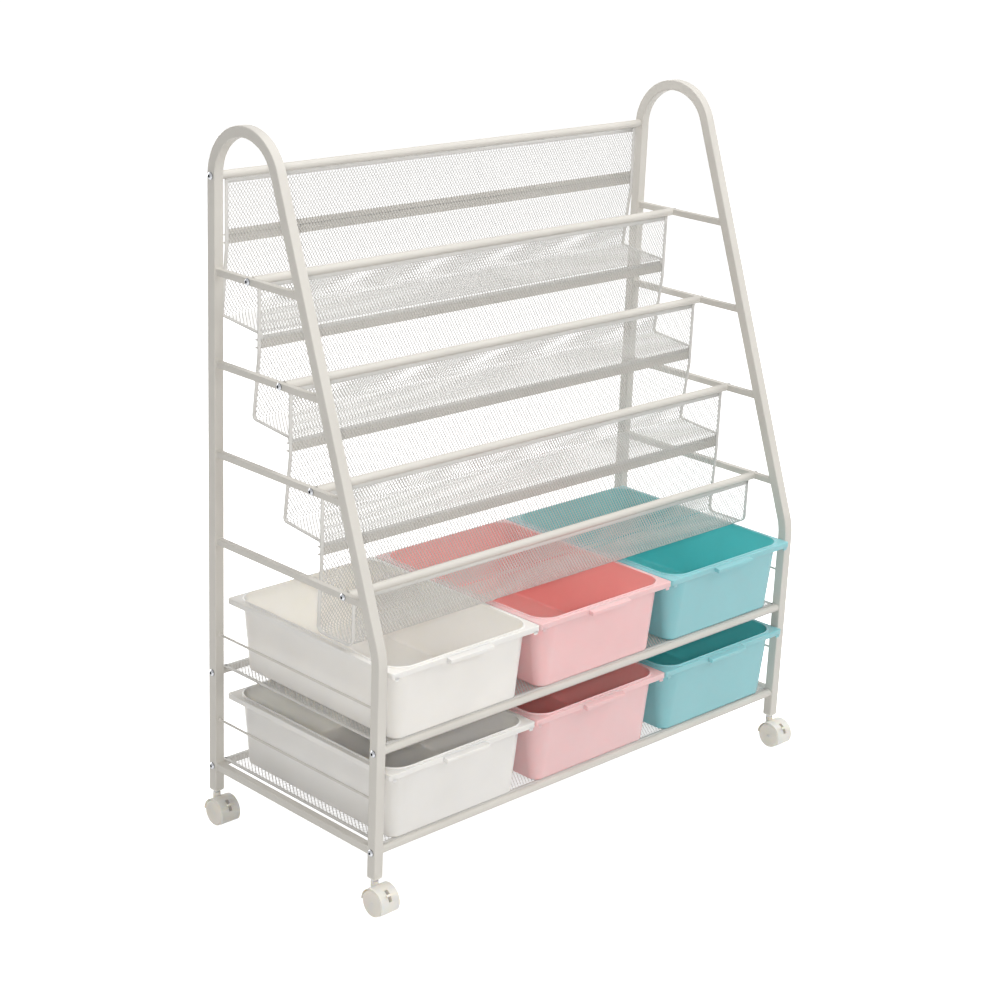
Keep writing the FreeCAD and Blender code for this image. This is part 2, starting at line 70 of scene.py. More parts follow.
# Expanded mesh: diamonds between strands, inside a plain border
diamond_width = 0.0063
diamond_length = 0.0092
strand_width = 0.0014
strand_depth = 0.0010
strand_outer = 0.00038
border_width = 0.0070
border_depth = 0.0011
side_border_depth = 0.0020

# Map of a mesh sheet for textures: the pattern's front, its back above it, and rows of all other faces on top
map_gap = 0.01
map_height = 0.44
map_rest_start = 0.92
map_rest_height = 0.07
map_faces_in_row = 400
map_face_share = 0.8

# Bins
bin_wall = 0.0022
bin_side_flange = 0.010
bin_end_flange = 0.006
bin_taper = 0.013
bin_corner = 0.036
bin_floor_corner = 0.018
bin_floor_round = 0.004
bin_rim = 0.0022
bin_rim_corner = 0.004
bin_rim_round = 0.0011
bin_lip = 0.0025
bin_lip_width = 0.0032
bin_lip_round = 0.0013
bin_lip_root = 0.0007
bin_skirt = 0.010
bin_skirt_wall = 0.0020
bin_height = 0.128
handle_width = 0.094
handle_reach = 0.010
handle_drop = 0.001
handle_slope = 0.002
handle_round = 0.0012
bin_foot_width = 0.008
bin_foot_drop = 0.004
bin_foot_inset = 0.009
bin_foot_round = 0.0006

# Wheels
wheel_inner_face = 0.00645
wheel_bore = 0.0031
wheel_cap = 0.0016
wheel_round = 0.003
wheel_rim = 0.0011
wheel_dish = 0.0006
wheel_mark = 0.0018
wheel_mark_depth = 0.0005

# Screw heads
head_radius = 0.006
head_height = 0.0033
head_edge = 0.0008
head_flat = 0.0032
head_round = 0.0003
socket_across = 0.004
socket_depth = 0.0018
socket_point = 0.0006

# Weld beads at the ends of the crossbars, bottom bars and guard wires
bead = 0.0013
wire_bead = 0.0042
wire_bead_reach = 0.0026
# How uneven they are, as waves: share of the bead's size, number round it, and phase for each metre of place
ring_waves = ((0.16, 5, (9, 0, 40)), (0.10, 11, (0, 70, 0)))
drop_waves = ((0.10, 3, (0, 0, 50)), (0.06, 7, (0, 30, 0)))

# Steps that curved outlines are drawn in
bend_steps = 14
corner_steps = 12
profile_steps = 4
wheel_steps = 6
wheel_around = 72
dome_steps = 8
head_around = 24
ring_around = 64
ring_section = 8
drop_around = 20
drop_rings = 7

# Camera: the photograph's view, for an image as wide as it is high
sensor_width = 36.0
lens_in_image_widths = 2.19729
camera_place = Vector((-2.55610, -2.50014, 1.74365))
camera_azimuth = math.radians(-44.9948)
camera_elevation = math.radians(18.7372)
camera_roll = math.radians(2.3537)


# Materials

# Most of a noise texture lies between these values
noise_low = 0.3
noise_high = 0.7

# Plastic: share of the light that goes into the wall, and the distance that light_reach is a share of
light_share = 0.8
light_distance = 0.005

# Painted shade for the plating in a screw's socket, between these two colours
socket_painted_shade = (0.010, 0.010, 0.011)
socket_painted_shade_lighter = (0.014, 0.014, 0.015)


def new_material(name):
    made = bpy.data.materials.new(name)
    made.use_nodes = True
    return made, made.node_tree, made.node_tree.nodes["Principled BSDF"]


def noise(tree, scale, detail):
    # Noise on the object's own coordinates, with its grain set in cells per metre
    coordinates = tree.nodes.new("ShaderNodeTexCoord")
    texture = tree.nodes.new("ShaderNodeTexNoise")
    texture.inputs["Scale"].default_value = scale
    texture.inputs["Detail"].default_value = detail
    tree.links.new(coordinates.outputs["Object"], texture.inputs["Vector"])
    return texture.outputs["Fac"]


def ramp(tree, factor, low, high):
    node = tree.nodes.new("ShaderNodeValToRGB")
    first, last = node.color_ramp.elements
    first.position, last.position = noise_low, noise_high
    first.color = (*low, 1)
    last.color = (*high, 1)
    tree.links.new(factor, node.inputs["Fac"])
    return node.outputs["Color"]


def spread(tree, factor, low, high):
    node = tree.nodes.new("ShaderNodeMapRange")
    node.inputs["From Min"].default_value = noise_low
    node.inputs["From Max"].default_value = noise_high
    node.inputs["To Min"].default_value = low
    node.inputs["To Max"].default_value = high
    tree.links.new(factor, node.inputs["Value"])
    return node.outputs["Result"]


def bump(tree, height, strength, distance, normal=None):
    node = tree.nodes.new("ShaderNodeBump")
    node.inputs["Strength"].default_value = strength
    node.inputs["Distance"].default_value = distance
    tree.links.new(height, node.inputs["Height"])
    if normal:
        tree.links.new(normal, node.inputs["Normal"])
    return node.outputs["Normal"]


def mottled(tree, factor, colour, low, high):
    # The colour in patches between two levels of it
    return ramp(tree, factor, *(tuple(channel * level for channel in colour) for level in (low, high)))


def mixed_by_mark(tree, mark, plain, marked):
    # The plain colour, or the marked one where the points of the mesh carry that mark
    mix = tree.nodes.new("ShaderNodeMix")
    mix.data_type = "RGBA"
    found = tree.nodes.new("ShaderNodeAttribute")
    found.attribute_name = mark
    tree.links.new(found.outputs["Fac"], mix.inputs["Factor"])
    tree.links.new(plain, mix.inputs["A"])
    tree.links.new(marked, mix.inputs["B"])
    return mix.outputs["Result"]


def powder_coat(name, colour):
    # Satin paint with an orange-peel surface
    made, tree, shader = new_material(name)
    broad = noise(tree, scale=7, detail=2)
    peel = noise(tree, scale=620, detail=2)
    tree.links.new(mottled(tree, broad, colour, low=0.97, high=1.02), shader.inputs["Base Color"])
    tree.links.new(spread(tree, peel, low=0.40, high=0.52), shader.inputs["Roughness"])
    tree.links.new(bump(tree, peel, strength=0.25, distance=0.00012), shader.inputs["Normal"])
    return made


def moulded_plastic(name, colour, roughness, light_reach=None, inside_painted_glow=None):
    # Semi-gloss plastic: a fine grain from the mould and a slow waviness of the wall.
    # Light goes some way through thin walls of it, as far in each colour as light_reach says.
    # A tub's inner faces can take a colour of their own, lighter and more saturated: painted light, standing
    # in for light that comes through the thin walls and bounces within the tub
    made, tree, shader = new_material(name)
    broad = noise(tree, scale=11, detail=2)
    grain = noise(tree, scale=1500, detail=2)
    wave = noise(tree, scale=18, detail=1)
    tone = mottled(tree, broad, colour, low=0.975, high=1.015)
    if inside_painted_glow:
        inner_painted_glow_tone = mottled(tree, broad, inside_painted_glow, low=0.975, high=1.015)
        tone = mixed_by_mark(tree, "inside_painted_glow", tone, inner_painted_glow_tone)
    tree.links.new(tone, shader.inputs["Base Color"])
    tree.links.new(spread(tree, grain, *roughness), shader.inputs["Roughness"])
    waved = bump(tree, wave, strength=0.12, distance=0.0015)
    tree.links.new(bump(tree, grain, strength=0.15, distance=0.00005, normal=waved), shader.inputs["Normal"])
    if light_reach:
        shader.inputs["Subsurface Weight"].default_value = light_share
        shader.inputs["Subsurface Radius"].default_value = light_reach
        shader.inputs["Subsurface Scale"].default_value = light_distance
    return made


def plated_metal(name, colour, roughness):
    # Plating that takes painted shade where the points of the mesh say so, as in a socket
    made, tree, shader = new_material(name)
    shader.inputs["Metallic"].default_value = 1.0
    broad = noise(tree, scale=90, detail=2)
    grain = noise(tree, scale=2600, detail=3)
    clean = mottled(tree, broad, colour, low=0.93, high=1.04)
    painted_shade = ramp(tree, broad, socket_painted_shade, socket_painted_shade_lighter)
    tree.links.new(mixed_by_mark(tree, "painted_shade", clean, painted_shade), shader.inputs["Base Color"])
    tree.links.new(spread(tree, grain, *roughness), shader.inputs["Roughness"])
    tree.links.new(bump(tree, grain, strength=0.10, distance=0.00003), shader.inputs["Normal"])
    return made


# Each slot's way to make its material, and what that takes: colour, roughness, reach of light, and the colour
# of a tub's inner faces, which is painted light
bin_roughness = (0.34, 0.44)
finish_values = {
    "frame_paint": (powder_coat, (0.655, 0.628, 0.578)),
    "mesh_paint": (powder_coat, (0.685, 0.672, 0.645)),
    "screw_chrome": (plated_metal, (0.46, 0.47, 0.49), (0.10, 0.20)),
    "bare_steel": (plated_metal, (0.52, 0.52, 0.53), (0.28, 0.42)),
    # The bins' inner colours are lighter and more saturated than their outer ones: painted glow of light
    # through the walls and bounced within the tubs
    "bin_white": (
        moulded_plastic, (0.830, 0.812, 0.782), bin_roughness, (0.5, 0.48, 0.44), (0.985, 0.940, 0.885)),
    "bin_pink": (
        moulded_plastic, (0.845, 0.570, 0.570), bin_roughness, (0.5, 0.20, 0.19), (0.985, 0.450, 0.425)),
    "bin_teal": (
        moulded_plastic, (0.285, 0.590, 0.625), bin_roughness, (0.12, 0.45, 0.45), (0.150, 0.650, 0.660)),
    "plug_plastic": (moulded_plastic, (0.770, 0.740, 0.690), (0.42, 0.55)),
    "caster_plastic": (moulded_plastic, (0.850, 0.805, 0.730), (0.36, 0.48), (0.8, 0.65, 0.45)),
}
finishes = {name: make(name, *values) for name, (make, *values) in finish_values.items()}
slot_of = {part["node"]: part["material_slot"] for part in frame["record"]["subparts"]}
for node_name, node in frame["nodes"].items():
    for place in node.material_slots:
        place.material = finishes[slot_of[node_name]]


# Mesh helpers

def join(parts):
    # One list of points and one of faces from several
    points, faces = [], []
    for part_points, part_faces in parts:
        start = len(points)
        points += [tuple(p) for p in part_points]
        faces += [tuple(start + i for i in face) for face in part_faces]
    return points, faces


def new_piece(name, points, faces, slot, body, replaced=(), closed=True):
    # Visual piece that rides on a body and stands in for the nodes it replaces. The faces of a closed one
    # are all turned outwards
    mesh = bpy.data.meshes.new(name)
    mesh.from_pydata(points, [], faces)
    mesh.update()
    if closed:
        made = bmesh.new()
        made.from_mesh(mesh)
        bmesh.ops.recalc_face_normals(made, faces=made.faces[:])
        made.to_mesh(mesh)
        made.free()
    mesh.shade_smooth()
    piece = bpy.data.objects.new(name, mesh)
    bpy.context.scene.collection.objects.link(piece)
    mesh.materials.append(finishes[slot])
    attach(piece, body)
    for node_name in replaced:
        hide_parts(node_name)
    return piece


def mark_points(piece, mark, values):
    # A value for each point, which the materials read
    layer = piece.data.attributes.new(mark, "FLOAT", "POINT")
    layer.data.foreach_set("value", values)


# How far a large flat face outweighs the small ones beside it in smooth shading, in percent
large_face_weight = 80


def flat_faces_stay_flat(piece):
    weighted = piece.modifiers.new("weighted", "WEIGHTED_NORMAL")
    weighted.keep_sharp = True
    weighted.weight = large_face_weight


def mark_sharp_edges(piece, degrees):
    piece.data.set_sharp_from_angle(angle=math.radians(degrees))


def tube_faces(rings, around, closed=False):
    # Quads between rings of the same number of points, with a cap on each open end
    faces = []
    count = rings if closed else rings - 1
    for r in range(count):
        a = r * around
        b = (r + 1) % rings * around
        for k in range(around):
            n = (k + 1) % around
            faces.append((a + k, a + n, b + n, b + k))
    if not closed:
        faces.append(tuple(range(around))[::-1])
        faces.append(tuple((rings - 1) * around + k for k in range(around)))
    return faces


def turns_round(count):
    # Angles of equal steps round a full turn
    return [2 * math.pi * k / count for k in range(count)]


def middle(node_name):
    low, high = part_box(node_name)
    return (low + high) / 2


# Expanded mesh

def unit(v):
    return v / np.linalg.norm(v)


def bent_path(points, radii):
    # Straight runs in depth and height, joined by arcs
    corners = [np.array(p, float) for p in points]
    samples = [corners[0]]
    for before, corner, after, radius in zip(corners, corners[1:], corners[2:], radii):
        inward = unit(before - corner)
        outward = unit(after - corner)
        half = math.acos(float(np.clip(inward @ outward, -1, 1))) / 2
        centre = corner + unit(inward + outward) * (radius / math.sin(half))
        first = corner + inward * (radius / math.tan(half)) - centre
        last = corner + outward * (radius / math.tan(half)) - centre
        turn = math.atan2(first[0] * last[1] - first[1] * last[0], float(first @ last))
        for step in range(bend_steps + 1):
            c = math.cos(turn * step / bend_steps)
            s = math.sin(turn * step / bend_steps)
            samples.append(centre + np.array((c * first[0] - s * first[1], s * first[0] + c * first[1])))
    samples.append(corners[-1])
    return np.array(samples)


class Strip:
    """A sheet bent along lines across the shelf: gives places by x, length along it and height above it."""

    def __init__(self, samples, half):
        steps = np.linalg.norm(np.diff(samples, axis=0), axis=1)
        self.samples = samples
        self.at = np.concatenate(([0], np.cumsum(steps)))
        self.length = self.at[-1]
        self.half = half
        runs = np.diff(samples, axis=0) / steps[:, None]
        self.tangents = np.vstack((runs[:1], (runs[1:] + runs[:-1]) / 2, runs[-1:]))

    def places(self, x, s, height):
        s = np.clip(s, 0, self.length)
        y, z = (np.interp(s, self.at, self.samples[:, i]) for i in (0, 1))
        ty, tz = (np.interp(s, self.at, self.tangents[:, i]) for i in (0, 1))
        size = np.hypot(ty, tz)
        return np.stack((x + 0 * s, y - height * tz / size, z + height * ty / size), axis=-1)


def diamonds(strip):
    # Strands round diamond holes, thick where they cross. Returns the points, the faces of the front,
    # the back and the walls at the pattern's edge, and each point's place on the map
    cell_x = diamond_width / 2
    cell_s = diamond_length / 2
    columns = int((strip.half - border_width) / cell_x)
    rows = int((strip.length - 2 * border_width) / cell_s)
    top = (strip.length - rows * cell_s) / 2
    i, j = np.meshgrid(np.arange(-columns, columns + 1), np.arange(rows + 1), indexing="ij")
    keep = (i + j) % 2 == 0
    i, j = i[keep], j[keep]
    across = np.array((1, 0, -1, 0))
    along = np.array((0, 1, 0, -1))
    wide = 2 * columns + 3
    keys = (i[:, None] + across + columns + 1) + wide * (j[:, None] + along + 1)
    corners, index = np.unique(keys, return_inverse=True)
    index = index.reshape(keys.shape)
    corner_x = (corners % wide - columns - 1) * cell_x
    corner_s = top + (corners // wide - 1) * cell_s
    edge_distance = cell_x * cell_s / math.hypot(cell_x, cell_s)
    hole_share = 1 - strand_width / 2 / edge_distance
    hole_x = (i[:, None] + across * hole_share) * cell_x
    hole_s = top + (j[:, None] + along * hole_share) * cell_s
    count = len(corners)
    x = np.concatenate((corner_x, corner_x, hole_x.ravel()))
    s = np.concatenate((corner_s, corner_s, hole_s.ravel()))
    outer = strand_outer
    inner = outer - strand_depth
    levels = (np.full(count, outer), np.full(count, inner), np.full(hole_x.size, (outer + inner) / 2))
    height = np.concatenate(levels)
    points = strip.places(x, s, height)
    hole = 2 * count + np.arange(hole_x.size).reshape(hole_x.shape)
    following = np.roll(index, -1, axis=1)
    hole_following = np.roll(hole, -1, axis=1)
    front = np.stack((index, following, hole_following, hole), axis=-1).reshape(-1, 4)
    back = np.stack((following + count, index + count, hole, hole_following), axis=-1).reshape(-1, 4)
    # The strands at the edge of the pattern have no neighbour, and are closed by a wall
    sides = np.stack((index, following), axis=-1).reshape(-1, 2)
    ordered = np.sort(sides, axis=1)
    side_keys = ordered[:, 0] * count + ordered[:, 1]
    _, place, times = np.unique(side_keys, return_inverse=True, return_counts=True)
    rim = sides[times[place.ravel()] == 1]
    walls = np.stack((rim[:, 1], rim[:, 0], rim[:, 0] + count, rim[:, 1] + count), axis=-1)
    map_x = (x / strip.half + 1) / 2
    map_s = s / strip.length
    return points, front, back, walls, map_x, map_s


def band(strip, line, along_x, depth):
    # Flat band with bevelled edges on the sheet, along the given line of (x, s) places
    w = border_width / 2
    outer = strand_outer
    inner = outer - depth
    bevel = depth / 4
    outline = [
        (-w, inner + bevel), (-w + bevel, inner), (w - bevel, inner), (w, inner + bevel),
        (w, outer - bevel), (w - bevel, outer), (-w + bevel, outer), (-w, outer - bevel),
    ]
    points = []
    for x, s in line:
        for sideways, height in outline:
            shift = (0, sideways) if along_x else (sideways, 0)
            points.append(strip.places(np.array(x + shift[0]), np.array(s + shift[1]), height))
    return points, tube_faces(len(line), len(outline))


def mesh_sheet(name, node_name, samples, half):
    # Diamonds and border along a bent path, in place of a sheet of the solids
    strip = Strip(samples, half)
    points, front, back, walls, map_x, map_s = diamonds(strip)
    edge = half - border_width / 2
    stops = [s for s in strip.at if border_width / 2 < s < strip.length - border_width / 2]
    stops = [border_width / 2] + stops + [strip.length - border_width / 2]
    along = (0, *stops, strip.length)
    bands = [band(strip, [(side * edge, s) for s in along], False, side_border_depth) for side in (-1, 1)]
    bands += [band(strip, [(-edge, s), (edge, s)], True, border_depth) for s in (stops[0], stops[-1])]
    pattern = np.concatenate((front, back, walls))
    all_points, all_faces = join([(points, pattern)] + bands)
    piece = new_piece(name, all_points, all_faces, "mesh_paint", "frame", [node_name], False)
    # Map for textures
    mesh = piece.data
    layer = mesh.uv_layers.new(name="OFBake")
    uv = np.zeros((len(mesh.loops), 2))
    loops = 0
    for block, start in ((front, map_gap), (back, 2 * map_gap + map_height)):
        size = block.size
        uv[loops:loops + size, 0] = map_x[block.ravel()]
        uv[loops:loops + size, 1] = start + map_height * map_s[block.ravel()]
        loops += size
    rest = np.arange(len(mesh.loops) - loops)
    corner_u = map_face_share * np.array((0.0, 1.0, 1.0, 0.0))
    corner_v = map_face_share * np.array((0.0, 0.0, 1.0, 1.0))
    corners = len(corner_u)
    row, column = np.divmod(rest // corners, map_faces_in_row)
    rows = len(rest) // corners // map_faces_in_row + 1
    uv[loops:, 0] = (column + corner_u[rest % corners]) / map_faces_in_row
    uv[loops:, 1] = map_rest_start + map_rest_height * (row + corner_v[rest % corners]) / rows
    layer.data.foreach_set("uv", uv.ravel())


rail_names = ["rail_top"] + [f"rail_book_{n + 1}" for n in range(pockets)]
rail_places = [middle(name) for name in rail_names]
rail_radius = (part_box("rail_top")[1].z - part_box("rail_top")[0].z) / 2
for n in range(1, pockets + 1):
    upper, lower = rail_places[n - 1], rail_places[n]
    points = [(upper.y, upper.z - rail_radius - sheet_seat), (upper.y, upper.z - pocket_upright)]
    if n < pockets:
        edge_y = lower.y + sheet + sheet_seat
        edge_z = lower.z - channel_drop + channel_height / 2 + sheet_seat
        points.append((upper.y + pocket_lean, upper.z - pocket_depth))
        points += [(edge_y, edge_z + floor_edge), (edge_y, edge_z)]
        radii = (pocket_lean_radius, pocket_corner_radius, floor_edge_radius)
    else:
        points.append((upper.y + last_lean, last_floor_height))
        points.append((lower.y, last_floor_height))
        points.append((lower.y, lower.z - rail_radius - sheet_seat))
        radii = (pocket_lean_radius, last_corner_radius, last_corner_radius)
    sheet_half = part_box(f"pocket_sheet_{n}")[1].x
    mesh_sheet(f"pocket_mesh_{n}", f"pocket_sheet_{n}", bent_path(points, radii), sheet_half)
# The uppermost channel takes no floor: its lip shows where a floor's edge stands on the others
low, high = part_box("pocket_channel_1")
lip_y = low.y
lip_z = high.z - channel_metal
lip_bevel = channel_metal / 4
lip_outline = [
    (lip_y, lip_z), (lip_y, high.z + floor_edge - lip_bevel), (lip_y + lip_bevel, high.z + floor_edge),
    (lip_y + channel_metal - lip_bevel, high.z + floor_edge),
    (lip_y + channel_metal, high.z + floor_edge - lip_bevel), (lip_y + channel_metal, lip_z),
]
lip_points = [(x, y, z) for x in (low.x, high.x) for y, z in lip_outline]
piece = new_piece("channel_lip", lip_points, tube_faces(2, len(lip_outline)), "frame_paint", "frame")
mark_sharp_edges(piece, degrees=40)
for row in ("lower", "upper"):
    low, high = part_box(f"shelf_mesh_{row}")
    level = (low.z + high.z) / 2
    path = np.array(((low.y, level), (high.y, level)))
    mesh_sheet(f"shelf_grid_{row}", f"shelf_mesh_{row}", path, high.x)


# Bins

def rounded_ring(half_x, half_y, corner, z):
    points = []
    for turn, (sx, sy) in enumerate(((1, 1), (-1, 1), (-1, -1), (1, -1))):
        for step in range(corner_steps + 1):
            angle = math.pi / 2 * (turn + step / corner_steps)
            x = sx * (half_x - corner) + corner * math.cos(angle)
            y = sy * (half_y - corner) + corner * math.sin(angle)
            points.append((x, y, z))
    return points


def arc_points(centre_u, centre_v, radius, start, end, steps=profile_steps):
    turns = [math.radians(start + (end - start) * k / steps) for k in range(steps + 1)]
    return [(centre_u + radius * math.cos(t), centre_v + radius * math.sin(t)) for t in turns]


def tub_profile(rim_top):
    # The tub and its lip as (inset from the tub's outer face at the rim, height), in two runs:
    # from the inner floor up and over the lip, and from the rim's underside down to the outer floor
    def outer(z):
        return bin_taper * (1 - z / rim_top)

    r = bin_floor_round
    low = bin_wall + r
    inner_run = [(outer(low) + bin_wall + r - u, v) for u, v in arc_points(0, low, r, -90, 0)]
    top = bin_lip_round
    high = bin_height - top
    inner_face = outer(high) + bin_wall
    outer_face = bin_wall - bin_lip_width
    inner_run += [(inner_face - top - u, v) for u, v in arc_points(0, high, top, 180, 90)]
    inner_run += [(outer_face + top - u, v) for u, v in arc_points(0, high, top, 90, 0)]
    root = bin_lip_root
    inner_run += [(outer_face - root + u, v) for u, v in arc_points(0, rim_top + root, root, 0, -90)]
    outer_run = [(outer(rim_top - bin_rim), rim_top - bin_rim)]
    outer_run += [(outer(r) + r - u, v) for u, v in arc_points(0, r, r, 0, -90)]
    return inner_run, outer_run


def skirt_profile(rim_top):
    # The rim's turned-down edge as (inset from the rim's edge, height)
    edge = bin_rim_round
    profile = [(edge - u, v) for u, v in arc_points(0, rim_top - edge, edge, 90, 0)]
    low = rim_top - bin_skirt
    turn = bin_skirt_wall / 2
    profile += [(turn - u, v) for u, v in arc_points(0, low + turn, turn, 0, -180)]
    profile.append((bin_skirt_wall, rim_top - bin_rim))
    return profile


def bin_tub(half_x, half_y, rim_top):
    def tub_ring(inset, z):
        drop = 1 - z / rim_top
        corner = bin_corner + (bin_floor_corner - bin_corner) * drop + bin_taper * drop - inset
        return rounded_ring(half_x - bin_side_flange - inset, half_y - bin_end_flange - inset, corner, z)

    inner_run, outer_run = tub_profile(rim_top)
    rings = [tub_ring(*place) for place in inner_run]
    for inset, z in skirt_profile(rim_top):
        rings.append(rounded_ring(half_x - inset, half_y - inset, bin_rim_corner - inset, z))
    rings += [tub_ring(*place) for place in outer_run]
    points = [p for ring in rings for p in ring]
    return points, tube_faces(len(rings), len(rings[0]))


def rounded_prism(outline, x0, x1, radius):
    # Prism along X over an outline in depth and height, with rounded edges
    made = bmesh.new()
    ends = [[made.verts.new((x, y, z)) for y, z in outline] for x in (x0, x1)]
    made.faces.new(ends[0])
    made.faces.new(ends[1][::-1])
    for k in range(len(outline)):
        n = (k + 1) % len(outline)
        made.faces.new((ends[0][k], ends[1][k], ends[1][n], ends[0][n]))
    bmesh.ops.recalc_face_normals(made, faces=made.faces[:])
    bmesh.ops.bevel(made, geom=made.edges[:], offset=radius, segments=3, profile=0.5, affect="EDGES")
    made.verts.index_update()
    points = [tuple(v.co) for v in made.verts]
    faces = [tuple(v.index for v in face.verts) for face in made.faces]
    made.free()
    return points, faces


def bin_front(half_x, half_y, rim_top):
    front = -half_y
    back = front + bin_skirt_wall
    low = rim_top - bin_skirt
    top = rim_top - handle_drop
    reach = front - handle_reach
    handle = [(back, top), (reach, top - handle_slope), (reach, low), (back, low)]
    parts = [rounded_prism(handle, -handle_width / 2, handle_width / 2, handle_round)]
    foot_top = low + bin_skirt_wall
    foot_low = low - bin_foot_drop
    foot = [(back, foot_top), (front, foot_top), (front, foot_low), (back, foot_low)]
    for side in (-1, 1):
        x = side * (half_x - bin_foot_inset)
        parts.append(rounded_prism(foot, x - bin_foot_width / 2, x + bin_foot_width / 2, bin_foot_round))
    return parts


# Points on the tub's inner floor and walls, which take the inner colour of painted glow: the rings of the
# floor's rounding and the first ring of the lip, each with four rounded corners
bin_inner_rings = profile_steps + 2
bin_inner_points = bin_inner_rings * 4 * (corner_steps + 1)
for node_name in [n for n in frame["nodes"] if n.startswith("bin_")]:
    low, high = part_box(node_name)
    half_x = (high.x - low.x) / 2
    half_y = (high.y - low.y - handle_reach) / 2
    rim_top = bin_height - bin_lip
    points, faces = join([bin_tub(half_x, half_y, rim_top)] + bin_front(half_x, half_y, rim_top))
    shift = Vector(((low.x + high.x) / 2, high.y - half_y, low.z))
    points = [Vector(p) + shift for p in points]
    tub_name = node_name.replace("bin_", "tub_")
    piece = new_piece(tub_name, points, faces, slot_of[node_name], node_name, [node_name])
    # The inner points are marked for the painted glow of light within the tub
    mark_points(piece, "inside_painted_glow", [1.0] * bin_inner_points + [0.0] * (len(points) - bin_inner_points))
    flat_faces_stay_flat(piece)


# Wheels: two discs with a raised rim round a shallow dish, and a mark in the middle

def wheel_pair(centre, half_width, radius):
    r = wheel_round
    profile = [(wheel_bore, half_width - wheel_cap), (wheel_bore, wheel_inner_face)]
    profile += arc_points(radius - r, wheel_inner_face + r, r, -90, 0, wheel_steps)
    profile += arc_points(radius - r, half_width - r, r, 0, 90, wheel_steps)
    rim = radius - r - wheel_rim
    face = half_width - wheel_dish
    profile += [(rim, half_width), (rim - wheel_dish / 2, face + wheel_dish / 4), (rim - wheel_dish, face)]
    profile += [(wheel_mark + wheel_mark_depth, face), (wheel_mark, face - wheel_mark_depth)]
    wheels = []
    for side in (-1, 1):
        points = []
        for size, out in profile:
            for turn in turns_round(wheel_around):
                points.append(centre + Vector((side * out, size * math.cos(turn), size * math.sin(turn))))
        wheels.append((points, tube_faces(len(profile), wheel_around)))
    return wheels


for corner in ("rear_left", "front_left", "rear_right", "front_right"):
    node_name = f"caster_{corner}_wheels"
    low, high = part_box(node_name)
    wheels = wheel_pair((low + high) / 2, (high.x - low.x) / 2, (high.z - low.z) / 2)
    piece = new_piece(f"wheels_{corner}", *join(wheels), "caster_plastic", f"wheels_{corner}", [node_name])
    mark_sharp_edges(piece, degrees=35)


# Screw heads: a low dome with a hexagon socket on the end of each rail

def screw_head(seat_x, y, z, side):
    rings = [(0.0, head_radius)]
    for k in range(dome_steps + 1):
        share = k / dome_steps
        radius = math.sqrt(head_radius ** 2 + (head_flat ** 2 - head_radius ** 2) * share)
        rings.append((head_edge + (head_height - head_edge) * share, radius))
    points = []
    turns = turns_round(head_around)
    for out, radius in rings:
        points += [(seat_x + side * out, y + radius * math.cos(t), z + radius * math.sin(t)) for t in turns]
    # The hexagon's flats repeat every sixth of a turn
    sixth = math.pi / 3
    socket_rings = [(head_height, head_round), (head_height - head_round, 0), (head_height - socket_depth, 0)]
    for out, growth in socket_rings:
        for t in turns:
            radius = (socket_across / 2 + growth) / math.cos((t + sixth / 2) % sixth - sixth / 2)
            points.append((seat_x + side * out, y + radius * math.cos(t), z + radius * math.sin(t)))
    centre = len(points)
    points.append((seat_x + side * (head_height - socket_depth - socket_point), y, z))
    count = len(rings) + len(socket_rings)
    faces = tube_faces(count, head_around)[:-1]
    last = (count - 1) * head_around
    faces += [(last + k, last + (k + 1) % head_around, centre) for k in range(head_around)]
    return points, faces


# How much painted shade each point of a head takes: its two lowest rings, where it is a painted reflection
# that darkens the head's side, its dome, the socket's edge, and the socket with the point at its end
foot_painted_reflection = 0.85
socket_edge_painted_shade = 0.3
head_painted_shade = [foot_painted_reflection] * (2 * head_around) + [0.0] * (dome_steps * head_around)
head_painted_shade += [socket_edge_painted_shade] * head_around + [1.0] * (2 * head_around + 1)
heads = []
for rail_name in [n for n in frame["nodes"] if n.startswith("rail_") and n != "rail_inserts"]:
    place = middle(rail_name)
    bar = rail_name.replace("rail_book", "crossbar_right") if "book" in rail_name else "side_tube_right"
    seat_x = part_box(bar)[1].x
    for side in (-1, 1):
        heads.append(screw_head(side * seat_x, place.y, place.z, side))
piece = new_piece("screw_heads", *join(heads), "screw_chrome", "frame", ["frame_screws"])
# The sockets take painted shade, and the heads' sides a painted reflection that darkens them
mark_points(piece, "painted_shade", head_painted_shade * len(heads))
mark_sharp_edges(piece, degrees=40)


# Welds

def uneven(waves, turn, x, y, z):
    # 1, with waves round the bead that differ from place to place
    total = 1
    for share, times, (by_x, by_y, by_z) in waves:
        total += share * math.sin(times * turn + by_x * x + by_y * y + by_z * z)
    return total


def weld_ring(x, y, z, half, slope):
    # Uneven bead round the end of a square bar. The face it stands on moves in depth with height by slope
    points = []
    for turn in turns_round(ring_around):
        c, s = math.cos(turn), math.sin(turn)
        to_edge = half / max(abs(c), abs(s))
        swell = bead * uneven(ring_waves, turn, x, y, z)
        for angle in turns_round(ring_section):
            away = to_edge + swell * math.cos(angle)
            depth = y + slope * away * s + swell * math.sin(angle)
            points.append((x + away * c, depth, z + away * s))
    return points, tube_faces(ring_around, ring_section, closed=True)


def weld_drop(x, y, z, outward):
    # Rounded drop of weld round the end of a wire, on a face that looks along outward in depth
    points = []
    for ring in range(drop_rings):
        lift = math.pi / 2 * ring / drop_rings
        for turn in turns_round(drop_around):
            radius = wire_bead * uneven(drop_waves, turn, x, y, z) * math.cos(lift)
            depth = y + outward * wire_bead_reach * math.sin(lift)
            points.append((x + radius * math.cos(turn), depth, z + radius * math.sin(turn)))
    return points, tube_faces(drop_rings, drop_around)


